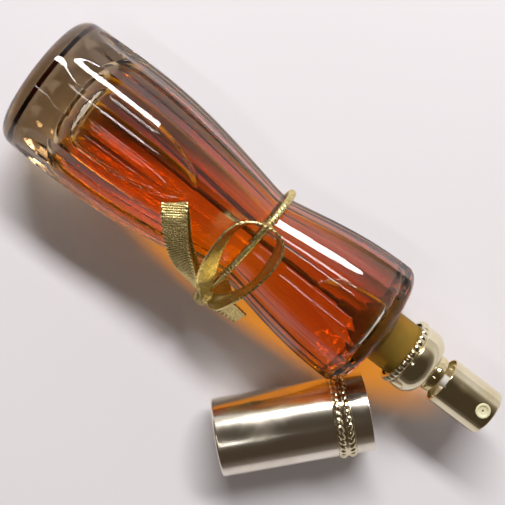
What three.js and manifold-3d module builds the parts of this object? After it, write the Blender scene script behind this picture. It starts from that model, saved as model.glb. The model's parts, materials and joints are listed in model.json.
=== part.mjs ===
// Perfume atomiser: a fluted, waisted glass flask lying on its side, with a crimped spray pump,
// a ribbon tied in a bow round its waist, and its metal cap laid on the table beside it.
//
// Millimetres. The flask is drawn about the X axis with its base at x = 0 and its pump at the far end.
// It is then laid on the table, so that +Z is up, +X runs from base to pump and the cap is on the -Y side.

import * as THREE from "three";
import { mergeVertices } from "three/addons/utils/BufferGeometryUtils.js";
import Module from "manifold-3d";

const wasm = await Module();
wasm.setup();

// ---------------------------------------------------------------- clearances

const seatGap = 0.1; // between pieces that are pressed or seated on each other
const runGap = 0.2; // between pieces that slide or turn past each other
const softGap = 0.4; // between the ribbon's runs, and between ribbon and glass

// ---------------------------------------------------------------- flask

const flaskLength = 105.5; // base to the foot of the neck
const heelRadius = 17.9; // where the side would meet the base
const heelRound = 4;
const bellyRadius = 18.8;
const bellyAt = 22;
const waistRadius = 13.1;
const waistAt = 66;
const waistSoftness = 0.05; // how rounded the pinch of the waist is
const shoulderRadius = 17.8;
const shoulderAt = flaskLength - 5;
const shoulderRound = 3.4;
const shoulderRise = 0.8; // the shoulder's top face slopes up to the neck by this much
const fluteCount = 16;
const fluteDepth = 0.75; // at the belly
const fluteStart = 5;
const fluteFade = 5; // length over which a flute deepens from nothing
const glassWall = 2.5;
const baseThickness = 14;
const neckRadius = 7.1;
const neckRound = 1.2;
const neckLength = 11.7; // foot of the neck to its lip
const neckBoreRadius = 4.9;
const beadProud = 0.3; // the rolled finish, which the ferrule grips, stands out of the neck
const beadLength = 2.2;
const grooveDepth = 0.6;
const grooveLength = 1.2;

// ---------------------------------------------------------------- perfume

const fillHeight = 13; // surface of the liquid above the flask's axis, as it lies
const bubbleMargin = 3; // how far each air pocket's cutter reaches past the glass
const fillTop = flaskLength - 4.5;

// ---------------------------------------------------------------- pump

const gasketThickness = 0.8;
const flangeThickness = 0.8;
const flangeInset = 0.2; // the flange and the gasket stop short of the bead's edge
const housingSlip = 0.4; // between the housing and the neck's bore
const housingWall = 1.2;
const housingDepth = 17; // lip to the cone at the housing's foot
const housingCone = 2.2;
const spigotRadius = 1.9;
const spigotLength = 5.5;
const inletRadius = 0.55;
const ballRadius = 0.9;
const ballLift = 1.2;
const ballSlip = 0.4; // between the ball and the side of its pocket
const tubeRadius = 0.95;
const tubeBore = 0.6;
const tubeToFloor = 2.5; // dip tube's end to the inside of the base
const tubeSteps = 16;
const turretRadius = 5;
const turretStep = 0.6; // the turret's foot is wider than its top by this much
const turretFlangeProud = 0.8;
const turretFlangeThickness = 0.7;
const turretStepLength = 2.9;
const turretLength = 5.2;
const stemRadius = 1.6;
const stemBore = 0.6;
const stemCollarSlip = 0.6; // between the stem's collars and the housing's bore
const stemCollarLength = 0.8;
const stemInHousing = 5.4; // stem's foot below the lip
const stemSealThickness = 0.8;
const pistonLength = 2.8;
const pistonLip = 0.35; // each end of the piston flares by this much
const springWire = 0.28;
const springSlip = 0.7; // from the stem's side to the middle of the spring's wire
const springTurns = 6;
const preloadTurns = 2;
const pressTravel = 4.4;

// ---------------------------------------------------------------- ferrule and collar

const ferruleWall = 0.4;
const ferruleCurl = 0.7; // the skirt's lip is rolled in below the bead by this much
const ferruleChamfer = 1;
const collarWall = 0.5;
const collarSideWall = 0.8;
const collarDome = 3; // height of the rounded top
const collarHeadroom = 1.1; // inside the dome, above the crimp
const knurlProud = 0.35;
const knurlDepth = 0.3;
const knurlTeeth = 24;
const knurlLength = 1.8;

// ---------------------------------------------------------------- actuator

const actuatorRadius = 6.25;
const actuatorWall = 0.4;
const actuatorLength = 14.8;
const actuatorRound = 0.7;
const actuatorLift = 1.2; // from the turret's top to the actuator's skirt
const stemSocket = 4.6; // how far the stem goes into the actuator's core
const nozzleRadius = 1.95;
const nozzleFromTop = 3.2; // nozzle's centre to the actuator's end face
const nozzleLength = 2.4;
const nozzleProud = 0.12;
const orificeRadius = 0.25;

// ---------------------------------------------------------------- cap

const capLength = 40;
const capSlip = 0.3; // between the liner's bore and the collar's knurl
const capWall = 0.35;
const capTopThickness = 0.8;
const capRound = 0.8;
const capTurn = 47.4; // degrees between the cap's axis and the flask's, in plan
const linerWall = 0.4;
const ropeRise = 0.7; // how far the rope collar stands out of the cap
const ropeWidth = 4.6;
const ropeFromMouth = 4.8;
const ropeStrands = 2;
const capStandOff = 0.2; // in plan, from the rope collar's side to the shoulder's side
const capBehind = 10.5; // cap's middle behind the shoulder, along the cap's axis

// ---------------------------------------------------------------- ribbon

const ribbonWidth = 6.4;
const ribbonThickness = 0.5;
const bandRadius = 0.9; // the ribbon is rolled to this round section where it circles the waist
const knotTurn = 101; // degrees from the top of the flask towards the cap
const knotLift = 7; // knot's centre above the glass
const knotSize = [2.6, 2.3, 3.1];
const knotBack = 1.1; // the knot sits this far towards the base from the waist
const bandSlant = 1; // how far the band leans along the flask on its way round

// ---------------------------------------------------------------- places along the flask's axis

const lipAt = flaskLength + neckLength;
const flangeAt = lipAt + gasketThickness + 2 * seatGap;
const turretAt = flangeAt + flangeThickness + seatGap;
const ferruleTopAt = turretAt + turretFlangeThickness + seatGap;
const ferruleFootAt = lipAt - beadLength - grooveLength;
const collarTopAt = ferruleTopAt + ferruleWall + collarHeadroom + collarWall;
const collarFootAt = ferruleFootAt - ferruleWall;
const turretTopAt = ferruleTopAt + turretLength;
const actuatorAt = turretTopAt + actuatorLift;
const actuatorEndAt = actuatorAt + actuatorLength;
const coreAt = turretTopAt + pressTravel + runGap; // the core just clears the turret when pressed
const stemTopAt = coreAt + stemSocket;
const coneAt = lipAt - housingDepth;
const spigotAt = coneAt - housingCone;
const ballAt = coneAt + ballRadius + seatGap;
const springSeatAt = ballAt + ballRadius + ballLift + runGap;
const pistonAt = lipAt - stemInHousing - stemCollarLength;
const stemFootAt = pistonAt - seatGap - stemCollarLength;
const stemCollarAt = flangeAt - runGap - stemCollarLength;
const beadRadius = neckRadius + beadProud;
const grooveRadius = neckRadius - grooveDepth;
const flangeRadius = beadRadius - flangeInset;
const housingRadius = neckBoreRadius - housingSlip;
const housingBore = housingRadius - housingWall;
const ballSeatRound = ballRadius + ballSlip;
const turretStepRadius = turretRadius + turretStep;
const turretFlange = turretStepRadius + turretFlangeProud;
const stemCollarRadius = housingBore - stemCollarSlip;
const stemSealRadius = housingBore - runGap;
const springRadius = stemRadius + springSlip;
const ferruleOuter = beadRadius + seatGap + ferruleWall;
const collarRadius = ferruleOuter + seatGap + collarSideWall;
const knurlRadius = collarRadius + knurlProud;
const capRadius = knurlRadius + capSlip + linerWall + seatGap + capWall;
const ropeRadius = capRadius + ropeRise;
const fluteTurn = (2 * Math.PI) / fluteCount;

// ---------------------------------------------------------------- mesh helpers

// Merges shared corners and leaves out the flat triangles at a turned shape's poles.
function welded(geometry) {
  const bare = geometry.clone();
  bare.deleteAttribute("normal");
  bare.deleteAttribute("uv");
  const merged = mergeVertices(bare, 1e-4);
  const corners = merged.index.array;
  const kept = [];
  for (let i = 0; i < corners.length; i += 3) {
    const [a, b, c] = corners.slice(i, i + 3);
    if (a !== b && b !== c && c !== a) kept.push(a, b, c);
  }
  merged.setIndex(kept);
  return merged;
}

function toSolid(geometry) {
  const mesh = welded(geometry);
  const vertProperties = new Float32Array(mesh.attributes.position.array);
  const triVerts = new Uint32Array(mesh.index.array);
  return new wasm.Manifold(new wasm.Mesh({ numProp: 3, vertProperties, triVerts }));
}

function toGeometry(solid) {
  const mesh = solid.getMesh();
  const geometry = new THREE.BufferGeometry();
  geometry.setAttribute("position", new THREE.BufferAttribute(mesh.vertProperties.slice(), 3));
  geometry.setIndex(new THREE.BufferAttribute(mesh.triVerts.slice(), 1));
  return geometry;
}

// Takes each cutter away from the body.
function cut(body, ...cutters) {
  let solid = toSolid(body);
  for (const cutter of cutters) solid = solid.subtract(toSolid(cutter));
  return toGeometry(solid);
}

// Turns a closed outline of [along, radius] points about the X axis; angle 0 is the top.
function turned(outline, segments = 32) {
  const points = outline.map(([along, radius]) => new THREE.Vector2(radius, along));
  return new THREE.LatheGeometry(points, segments).rotateZ(-Math.PI / 2);
}

// A tube wall between two radii, as an outline that closes on itself.
function ring(from, to, inner, outer, segments = 32) {
  const outline = [[from, inner], [from, outer], [to, outer], [to, inner], [from, inner]];
  return turned(outline, segments);
}

// Points of a quarter round from one [along, radius] point to another, bulging out or in.
function quarter(start, end, bulgeOut = true, steps = 3) {
  const points = [];
  for (let i = 0; i <= steps; i += 1) {
    const turn = (i / steps) * (Math.PI / 2);
    const first = bulgeOut ? 1 - Math.cos(turn) : Math.sin(turn);
    const second = bulgeOut ? Math.sin(turn) : 1 - Math.cos(turn);
    points.push([start[0] + (end[0] - start[0]) * first, start[1] + (end[1] - start[1]) * second]);
  }
  return points;
}

// A round wire or hose of the given radii along a curve; a circle has two sides for each curve segment.
function tubeAlong(curve, steps, radius, bore = 0, sides = 8) {
  const section = new THREE.Shape().absarc(0, 0, radius, 0, 2 * Math.PI);
  if (bore > 0) section.holes.push(new THREE.Path().absarc(0, 0, bore, 0, 2 * Math.PI, true));
  const settings = { steps, extrudePath: curve, bevelEnabled: false, curveSegments: sides / 2 };
  return new THREE.ExtrudeGeometry(section, settings);
}

class Helix extends THREE.Curve {
  constructor(from, to, radius, turns) {
    super();
    Object.assign(this, { from, to, radius, turns });
  }

  getPoint(share, target = new THREE.Vector3()) {
    const turn = share * this.turns * 2 * Math.PI;
    const along = THREE.MathUtils.lerp(this.from, this.to, share);
    return target.set(along, this.radius * Math.sin(turn), this.radius * Math.cos(turn));
  }
}

// A flat strip through hand-chosen stations: each has a centre, and the direction of the strip's
// width, whose length says how far the strip is spread there.
function strip(stations, width, thickness, steps) {
  const centres = new THREE.CatmullRomCurve3(stations.map((station) => station.centre));
  const widths = new THREE.CatmullRomCurve3(stations.map((station) => station.across));
  const corners = [];
  const faces = [];
  for (let i = 0; i <= steps; i += 1) {
    const share = i / steps;
    const centre = centres.getPoint(share);
    const along = centres.getTangent(share);
    const across = widths.getPoint(share);
    const spread = across.length();
    across.addScaledVector(along, -across.dot(along)).normalize();
    const facing = along.clone().cross(across);
    for (const [side, face] of [[-1, -1], [1, -1], [1, 1], [-1, 1]]) {
      const corner = centre.clone().addScaledVector(across, (side * spread * width) / 2);
      corner.addScaledVector(facing, (face * thickness) / 2);
      corners.push(...corner.toArray());
    }
    if (i === 0) continue;
    for (let side = 0; side < 4; side += 1) {
      const a = 4 * (i - 1) + side;
      const b = 4 * (i - 1) + ((side + 1) % 4);
      faces.push(a, b, b + 4, a, b + 4, a + 4);
    }
  }
  const last = 4 * steps;
  faces.push(0, 2, 1, 0, 3, 2, last, last + 1, last + 2, last, last + 2, last + 3);
  const geometry = new THREE.BufferGeometry();
  geometry.setAttribute("position", new THREE.Float32BufferAttribute(corners, 3));
  geometry.setIndex(faces);
  return geometry;
}

// ---------------------------------------------------------------- finishes

const finish = (color, roughness, metalness, extra = {}) =>
  new THREE.MeshStandardMaterial({ color, roughness, metalness, ...extra });

const clearGlass = finish(0xf3f0f2, 0.03, 0, { transparent: true, opacity: 0.3 });
const amberPerfume = finish(0xc24a06, 0.02, 0, { transparent: true, opacity: 0.85 });
const paleGold = finish(0xd9c486, 0.12, 1);
const deepGold = finish(0xb99a4a, 0.16, 1);
const champagne = finish(0xdcd2bd, 0.14, 1);
const aluminium = finish(0xc9cacb, 0.3, 1);
const spring = finish(0xb8babd, 0.2, 1);
const clearPlastic = finish(0xe9e8e2, 0.35, 0);
const whitePlastic = finish(0xf2f0ea, 0.4, 0);
const creamPlastic = finish(0xe3d9a8, 0.35, 0);
const rubber = finish(0x2b2b2c, 0.8, 0);
const goldRibbon = finish(0xc2a560, 0.4, 0.8);

function piece(name, geometry, material) {
  const mesh = new THREE.Mesh(welded(geometry), material);
  mesh.name = name;
  return mesh;
}

// ---------------------------------------------------------------- flask shape

// Radius of the flask's ridges at a distance from the base, without its rounded ends.
function sideRadius(along) {
  if (along < bellyAt) return bellyRadius - (bellyRadius - heelRadius) * (1 - along / bellyAt) ** 2;
  const toBelly = along < waistAt;
  const full = toBelly ? bellyRadius : shoulderRadius;
  const fullAt = toBelly ? bellyAt : shoulderAt;
  const reach = Math.min((along - waistAt) / (fullAt - waistAt), 1);
  const soften = (share) => Math.hypot(share, waistSoftness) - waistSoftness;
  const eased = soften(reach) / soften(1);
  return waistRadius + (full - waistRadius) * Math.sin((eased * Math.PI) / 2);
}

// Stations along the side, the same number before the waist as after it, with one on the waist.
function sideStations(from, to, offset, count) {
  const stations = [];
  for (let i = -count; i <= count; i += 1) {
    const along = THREE.MathUtils.lerp(waistAt, i < 0 ? from : to, Math.abs(i) / count);
    stations.push([along, sideRadius(along) - offset]);
  }
  return stations;
}

// Presses the flutes into a turned flask: a shallow hollow between each pair of ridges.
function pressFlutes(geometry) {
  const places = geometry.attributes.position;
  for (let i = 0; i < places.count; i += 1) {
    const [along, y, z] = [places.getX(i), places.getY(i), places.getZ(i)];
    const radius = Math.hypot(y, z);
    const fadeIn = THREE.MathUtils.smoothstep(along, fluteStart, fluteStart + fluteFade);
    const fadeOut = 1 - THREE.MathUtils.smoothstep(along, shoulderAt, shoulderAt + shoulderRound);
    const across = Math.cos((Math.atan2(y, z) / fluteTurn) * Math.PI);
    const depth = fluteDepth * (radius / bellyRadius) * across ** 2 * fadeIn * fadeOut;
    const scale = radius > 0 ? (radius - depth) / radius : 1;
    places.setXYZ(i, along, y * scale, z * scale);
  }
  return geometry;
}

function flaskOutline() {
  const sideStart = heelRound;
  const shoulderEnd = flaskLength - shoulderRise;
  const sideEnd = shoulderEnd - shoulderRound;
  const grooveAt = lipAt - beadLength - grooveLength;
  const endRadius = sideRadius(sideEnd);
  return [
    [0, 0],
    ...quarter([0, heelRadius - heelRound], [sideStart, sideRadius(sideStart)]),
    ...sideStations(bellyAt / 2, sideEnd, 0, 7),
    ...quarter([sideEnd, endRadius], [shoulderEnd, endRadius - shoulderRound], false).slice(1),
    ...quarter([flaskLength - neckRound / 2, neckRadius + neckRound], [flaskLength + neckRound, neckRadius]),
    [grooveAt, neckRadius],
    [grooveAt + grooveLength / 3, grooveRadius],
    [grooveAt + grooveLength, grooveRadius],
    [lipAt - beadLength + seatGap, beadRadius],
    [lipAt, beadRadius],
    [lipAt, 0],
  ];
}

// The inside of the flask, from its floor to a given height; shrunk by a gap for the liquid.
function cavityOutline(shrink) {
  const floor = baseThickness + shrink;
  const sideStart = floor + heelRound / 2;
  const sideEnd = shoulderAt - glassWall / 2;
  const top = flaskLength - shoulderRise - glassWall - shrink;
  const offset = glassWall + fluteDepth + shrink;
  const startRadius = sideRadius(sideStart) - offset;
  const endRadius = sideRadius(sideEnd) - offset;
  return [
    [floor, 0],
    ...quarter([floor, startRadius - heelRound / 2], [sideStart, startRadius]),
    ...sideStations(sideStart + heelRound, sideEnd, offset, 5),
    ...quarter([sideEnd, endRadius], [top, endRadius - shoulderRound], false).slice(1),
    [top, neckBoreRadius - shrink],
  ];
}

function flaskGlass() {
  const outside = pressFlutes(turned(flaskOutline(), 4 * fluteCount));
  const bore = [[lipAt + 1, neckBoreRadius], [lipAt + 1, 0]];
  return cut(outside, turned([...cavityOutline(0), ...bore], 2 * fluteCount));
}

// ---------------------------------------------------------------- laying the flask down

// The flask rests on two neighbouring ridges, at its belly and at its shoulder.
const ridgeDrop = Math.cos(fluteTurn / 2);
const bellyRest = bellyRadius * ridgeDrop;
const shoulderRest = shoulderRadius * ridgeDrop;
const flaskTilt = Math.atan((bellyRest - shoulderRest) / (shoulderAt - bellyAt));
const axisHeight = bellyAt * Math.sin(flaskTilt) + bellyRest * Math.cos(flaskTilt);

// ---------------------------------------------------------------- dip tube and perfume

function dipTubeRoute() {
  const top = coneAt - housingCone - 0.5;
  const foot = baseThickness + tubeToFloor;
  return new THREE.CatmullRomCurve3([
    new THREE.Vector3(top, 0, 0),
    new THREE.Vector3(top - spigotLength - 4, 0, 0),
    new THREE.Vector3(waistAt, 0.6, -0.6),
    new THREE.Vector3((waistAt + foot) / 2, 2, -3.4),
    new THREE.Vector3(foot, 4.5, -8.6),
  ]);
}

// The air's cutter: everything above the level surface, on one side of the waist.
function airPocket(from, to) {
  const height = bellyRadius + bubbleMargin;
  const box = new THREE.BoxGeometry(to - from, 2 * height, height);
  box.translate((from + to) / 2, 0, fillHeight + height / 2);
  return box;
}

function perfume() {
  const shrink = softGap;
  const body = turned([...cavityOutline(shrink), [fillTop + shrink, 0]], 2 * fluteCount);
  const pump = turned([
    [spigotAt - spigotLength - softGap, 0],
    [spigotAt - spigotLength - softGap, spigotRadius + softGap],
    [spigotAt - softGap, spigotRadius + softGap],
    [coneAt - softGap, housingRadius + softGap],
    [lipAt, housingRadius + softGap],
    [lipAt, 0],
  ], 16);
  const route = dipTubeRoute();
  const tube = tubeAlong(route, tubeSteps, tubeRadius + softGap);
  const tubeFoot = new THREE.SphereGeometry(tubeRadius + softGap, 10, 6).translate(...route.getPoint(1));
  return cut(body, airPocket(0, waistAt), airPocket(waistAt, lipAt), pump, tube, tubeFoot);
}

// ---------------------------------------------------------------- pump pieces

function neckGasket() {
  return ring(lipAt + seatGap, lipAt + seatGap + gasketThickness, housingRadius + seatGap, flangeRadius);
}

function pumpHousing() {
  const seatAt = ballAt - ballRadius / 2;
  return turned([
    [spigotAt - spigotLength, tubeRadius + seatGap],
    [spigotAt - spigotLength, spigotRadius],
    [spigotAt, spigotRadius],
    [coneAt, housingRadius],
    [flangeAt, housingRadius],
    [flangeAt, flangeRadius],
    [flangeAt + flangeThickness, flangeRadius],
    [flangeAt + flangeThickness, housingBore],
    [springSeatAt - runGap, housingBore],
    [springSeatAt - runGap, ballSeatRound],
    [seatAt, ballSeatRound],
    [seatAt - ballRadius / 2, inletRadius],
    [coneAt - housingCone, inletRadius],
    [coneAt - housingCone, tubeRadius + seatGap],
    [spigotAt - spigotLength, tubeRadius + seatGap],
  ], 24);
}

function inletBall() {
  return new THREE.SphereGeometry(ballRadius, 12, 8).translate(ballAt, 0, 0);
}

// Each spring sits between the two faces that it pushes apart.
function returnSpring() {
  return coil(springSeatAt, stemFootAt - seatGap, springTurns);
}

function preloadSpring() {
  return coil(pistonAt + pistonLength + seatGap, stemCollarAt - seatGap, preloadTurns);
}

function coil(from, to, turns) {
  const path = new Helix(from + springWire, to - springWire, springRadius, turns);
  return tubeAlong(path, turns * 9, springWire, 0, 6);
}

function piston() {
  const outer = housingBore - seatGap;
  return turned([
    [pistonAt, stemRadius + seatGap],
    [pistonAt, outer],
    [pistonAt + pistonLip, outer - pistonLip],
    [pistonAt + pistonLength - pistonLip, outer - pistonLip],
    [pistonAt + pistonLength, outer],
    [pistonAt + pistonLength, stemRadius + seatGap],
    [pistonAt, stemRadius + seatGap],
  ], 24);
}

function stem() {
  const foot = stemFootAt;
  const collarAt = stemCollarAt;
  return turned([
    [foot, stemBore],
    [foot, stemCollarRadius],
    [foot + stemCollarLength, stemCollarRadius],
    [foot + stemCollarLength, stemRadius],
    [collarAt, stemRadius],
    [collarAt, stemCollarRadius],
    [collarAt + stemCollarLength, stemCollarRadius],
    [collarAt + stemCollarLength, stemRadius],
    [stemTopAt, stemRadius],
    [stemTopAt, stemBore],
    [foot, stemBore],
  ], 16);
}

function stemSeal() {
  const from = flangeAt;
  return ring(from, from + stemSealThickness, stemRadius + seatGap, stemSealRadius, 16);
}

function turret() {
  const stepAt = ferruleTopAt + turretStepLength;
  return turned([
    [turretAt, stemRadius + runGap],
    [turretAt, turretFlange],
    [turretAt + turretFlangeThickness, turretFlange],
    [turretAt + turretFlangeThickness, turretStepRadius],
    [stepAt, turretStepRadius],
    [stepAt + 0.3, turretRadius],
    [turretTopAt - 0.4, turretRadius],
    [turretTopAt, turretRadius - 0.4],
    [turretTopAt, stemRadius + runGap],
    [turretAt, stemRadius + runGap],
  ]);
}

// The crimp: a thin skirt rolled in under the neck's bead, closed by a plate round the turret.
function crimpFerrule() {
  const inner = beadRadius + seatGap;
  const curlAt = lipAt - beadLength - seatGap;
  return turned([
    [ferruleFootAt, grooveRadius + ferruleCurl],
    [ferruleFootAt, inner],
    [curlAt, ferruleOuter],
    [ferruleTopAt + ferruleWall - ferruleChamfer, ferruleOuter],
    [ferruleTopAt + ferruleWall, ferruleOuter - ferruleChamfer * 0.7],
    [ferruleTopAt + ferruleWall, turretStepRadius + seatGap],
    [ferruleTopAt, turretStepRadius + seatGap],
    [ferruleTopAt, inner - ferruleChamfer * 0.7],
    [ferruleTopAt - ferruleChamfer, inner],
    [curlAt, inner],
    [ferruleFootAt + ferruleWall, grooveRadius + seatGap + ferruleWall],
    [ferruleFootAt, grooveRadius + ferruleCurl],
  ], 24);
}

// The polished collar over the crimp, with a knurled foot and a rounded top.
function pumpCollar() {
  const inner = ferruleOuter + seatGap;
  const knurlEnd = collarFootAt + knurlLength;
  const domeFrom = collarTopAt - collarDome;
  const hole = turretStepRadius + seatGap;
  const shell = turned([
    [collarFootAt, inner],
    [collarFootAt, knurlRadius],
    [knurlEnd, knurlRadius],
    [knurlEnd + knurlDepth, collarRadius],
    ...quarter([domeFrom, collarRadius], [collarTopAt, hole + collarWall], false, 4),
    [collarTopAt, hole],
    [collarTopAt - collarWall, hole],
    ...quarter([domeFrom, inner], [collarTopAt - collarWall, hole + seatGap], false, 5).reverse(),
    [collarFootAt, inner],
  ], 2 * knurlTeeth);
  const places = shell.attributes.position;
  for (let i = 0; i < places.count; i += 1) {
    const [along, y, z] = [places.getX(i), places.getY(i), places.getZ(i)];
    const radius = Math.hypot(y, z);
    const tooth = Math.round((Math.atan2(y, z) / Math.PI) * knurlTeeth) % 2 !== 0;
    if (!tooth || radius < knurlRadius - knurlDepth / 2) continue;
    const scale = (knurlRadius - knurlDepth) / radius;
    places.setXYZ(i, along, y * scale, z * scale);
  }
  return shell;
}

// ---------------------------------------------------------------- actuator

const coreEndAt = actuatorEndAt - actuatorWall - seatGap;
const nozzleAt = actuatorEndAt - nozzleFromTop;
const nozzleTop = actuatorRadius + nozzleProud;

// A round cutter or plug that faces up at the nozzle's place.
function nozzlePost(radius, from, to, sides = 20) {
  const post = new THREE.CylinderGeometry(radius, radius, to - from, sides).rotateX(Math.PI / 2);
  return post.translate(nozzleAt, 0, (from + to) / 2);
}

function actuatorShell() {
  const inner = actuatorRadius - actuatorWall;
  const rimAt = actuatorEndAt - actuatorRound;
  const body = turned([
    [actuatorAt, inner],
    [actuatorAt, actuatorRadius],
    ...quarter([rimAt, actuatorRadius], [actuatorEndAt, actuatorRadius - actuatorRound], false),
    [actuatorEndAt, 0],
    [actuatorEndAt - actuatorWall, 0],
    [actuatorEndAt - actuatorWall, inner],
    [actuatorAt, inner],
  ]);
  return cut(body, nozzlePost(nozzleRadius + seatGap, 0, actuatorRadius + 1));
}

function actuatorCore() {
  const outer = actuatorRadius - actuatorWall - seatGap;
  const socket = stemRadius + seatGap;
  const socketEnd = stemTopAt + seatGap;
  const body = turned([
    [coreAt, socket],
    [coreAt, outer],
    [coreEndAt, outer],
    [coreEndAt, 0],
    [nozzleAt, 0],
    [nozzleAt, stemBore],
    [socketEnd, stemBore],
    [socketEnd, socket],
    [coreAt, socket],
  ], 24);
  const pocketFloor = nozzleTop - nozzleLength - seatGap;
  const channel = nozzlePost(stemBore, 0, pocketFloor + 1, 8);
  return cut(body, nozzlePost(nozzleRadius + seatGap, pocketFloor, actuatorRadius + 1), channel);
}

function nozzleInsert() {
  const from = nozzleTop - nozzleLength;
  const orifice = nozzlePost(orificeRadius, from - 1, nozzleTop + 1, 8);
  return cut(nozzlePost(nozzleRadius, from, nozzleTop), orifice);
}

// ---------------------------------------------------------------- cap

// Drawn with its closed end at x = 0 and its mouth at x = capLength.
function capShell() {
  const inner = capRadius - capWall;
  return turned([
    [0, 0],
    ...quarter([0, capRadius - capRound], [capRound, capRadius]),
    [capLength, capRadius],
    [capLength, inner],
    [capTopThickness, inner],
    [capTopThickness, 0],
  ], 40);
}

function capLiner() {
  const outer = capRadius - capWall - seatGap;
  const inner = outer - linerWall;
  const floor = capTopThickness + seatGap;
  const mouth = capLength - seatGap;
  return turned([
    [floor, 0],
    [floor, outer],
    [mouth, outer],
    [mouth, inner],
    [floor + linerWall, inner],
    [floor + linerWall, 0],
  ], 40);
}

// The rope collar: side by side rounded strands on a thin band.
function ropeCollar() {
  const inner = capRadius + seatGap;
  const from = capLength - ropeFromMouth - ropeWidth;
  const strand = ropeWidth / ropeStrands;
  const rise = ropeRadius - inner;
  const points = [[from, inner]];
  for (let i = 0; i < ropeStrands; i += 1) {
    for (const share of [0.12, 0.5, 0.88]) {
      const bulge = Math.sin(share * Math.PI);
      points.push([from + (i + share) * strand, inner + rise * (0.25 + 0.75 * bulge)]);
    }
  }
  points.push([from + ropeWidth, inner], [from, inner]);
  return turned(points, 40);
}

// The cap leans on its rope collar and on the rim of its closed end.
const ropeRestAt = capLength - ropeFromMouth - ropeWidth * (1 - 0.5 / ropeStrands);
const capTilt = Math.atan((ropeRadius - capRadius) / (ropeRestAt - capRound));
const capAxisHeight = capRadius * Math.cos(capTilt) - capRound * Math.sin(capTilt);

// ---------------------------------------------------------------- ribbon

// A point above the glass: distance from the waist, turn from the top towards the cap, and lift.
function overGlass(fromWaist, turnDegrees, lift) {
  const turn = THREE.MathUtils.degToRad(turnDegrees);
  const radius = sideRadius(waistAt + fromWaist) + lift;
  return new THREE.Vector3(waistAt + fromWaist, -radius * Math.sin(turn), radius * Math.cos(turn));
}

// A station of a strip over the glass; its width lies [along the flask, around it, away from it].
function station(fromWaist, turnDegrees, lift, [axial, around, outward], spread = 1) {
  const turn = THREE.MathUtils.degToRad(turnDegrees);
  const across = new THREE.Vector3(
    axial,
    -around * Math.cos(turn) - outward * Math.sin(turn),
    -around * Math.sin(turn) + outward * Math.cos(turn),
  );
  across.normalize().multiplyScalar(spread);
  return { centre: overGlass(fromWaist, turnDegrees, lift), across };
}

const knotCentre = overGlass(-knotBack, knotTurn, knotLift);

function ribbonKnot() {
  return new THREE.SphereGeometry(1, 14, 9).scale(...knotSize).translate(...knotCentre.toArray());
}

// The rolled band runs round the waist and leaves it on both sides, straight to the knot.
function ribbonBand() {
  const lift = bandRadius + softGap;
  const leave = THREE.MathUtils.radToDeg(Math.acos((waistRadius + lift) / (waistRadius + knotLift)));
  const knotReach = knotLift - knotSize[1] - bandRadius;
  const arc = 360 - 2 * leave;
  const arcSteps = 14;
  const points = [overGlass(-knotBack, knotTurn - 6, knotReach)];
  for (let i = 0; i <= arcSteps; i += 1) {
    const turn = knotTurn - leave - (i / arcSteps) * arc;
    const slant = -bandSlant * Math.sin(THREE.MathUtils.degToRad(turn));
    points.push(overGlass(slant, turn, lift));
  }
  points.push(overGlass(-knotBack, knotTurn + 6, knotReach));
  return tubeAlong(new THREE.CatmullRomCurve3(points), 40, bandRadius, 0, 6);
}

// The flattened loop lies on the glass from the knot up to its fold, and doubles back over itself.
function ribbonFlatLoop() {
  const low = softGap + ribbonThickness / 2 + 0.7;
  const high = low + softGap + 2 * ribbonThickness;
  const across = [0.77, -0.64, 0];
  return strip([
    station(-3.6, 95, knotLift - 1.6, [0.5, -0.3, 0.7], 0.5),
    station(-6.2, 80, low + 1.8, [0.77, -0.5, 0.2], 0.85),
    station(-10, 60, low + 0.4, across),
    station(-14.5, 39, low + 0.3, across),
    station(-19, 20, low + 0.2, across),
    station(-20.6, 14, (low + high) / 2 + 0.4, across),
    station(-18.9, 21, high + 0.8, across),
    station(-14.2, 40, high + 1.2, across),
    station(-9.6, 60, high + 1.6, across),
    station(-5.8, 79, high + 2.6, [0.77, -0.5, 0.2], 0.85),
    station(-2.6, 90, knotLift + 1.2, [0.5, -0.3, 0.7], 0.5),
  ], ribbonWidth, ribbonThickness, 34);
}

// The round loop stands on edge over the waist and crosses above the band.
function ribbonRoundLoop() {
  const clear = ribbonWidth / 2 + softGap;
  const overBand = clear + 2 * bandRadius + softGap;
  const onEdge = [0, 0, 1];
  return strip([
    station(1.4, 93, knotLift + 1.8, onEdge, 0.5),
    station(4.2, 70, overBand - 0.6, onEdge, 0.9),
    station(7, 38, clear + 0.6, onEdge),
    station(8, 12, clear + 0.3, onEdge),
    station(6.4, -7, clear + 0.6, onEdge),
    station(2.4, -13, overBand, onEdge),
    station(-2.6, -9, overBand, onEdge),
    station(-5.6, 4, clear + 0.8, onEdge),
    station(-4.4, 24, clear + 1, onEdge),
    station(-1.6, 56, overBand + 0.4, onEdge),
    station(0.3, 84, knotLift + 2.6, onEdge, 0.5),
  ], ribbonWidth, ribbonThickness, 32);
}

function ribbonLongTail() {
  return strip([
    station(2.2, 102, knotLift - 0.2, [0, 0.3, 1], 0.5),
    station(5.6, 106, knotLift - 1.2, [0, 0.6, 1]),
    station(10.4, 108, knotLift - 2, [0, 0.6, 0.8]),
  ], ribbonWidth, ribbonThickness, 8);
}

function ribbonShortTail() {
  const across = [0.9, 0, 0.4];
  return strip([
    station(0.2, 110, knotLift - 0.8, across, 0.4),
    station(1.8, 122, knotLift - 1.4, across, 0.6),
    station(3.4, 131, knotLift - 1.8, across, 0.6),
  ], ribbonWidth, ribbonThickness, 6);
}

// ---------------------------------------------------------------- assembly

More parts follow.
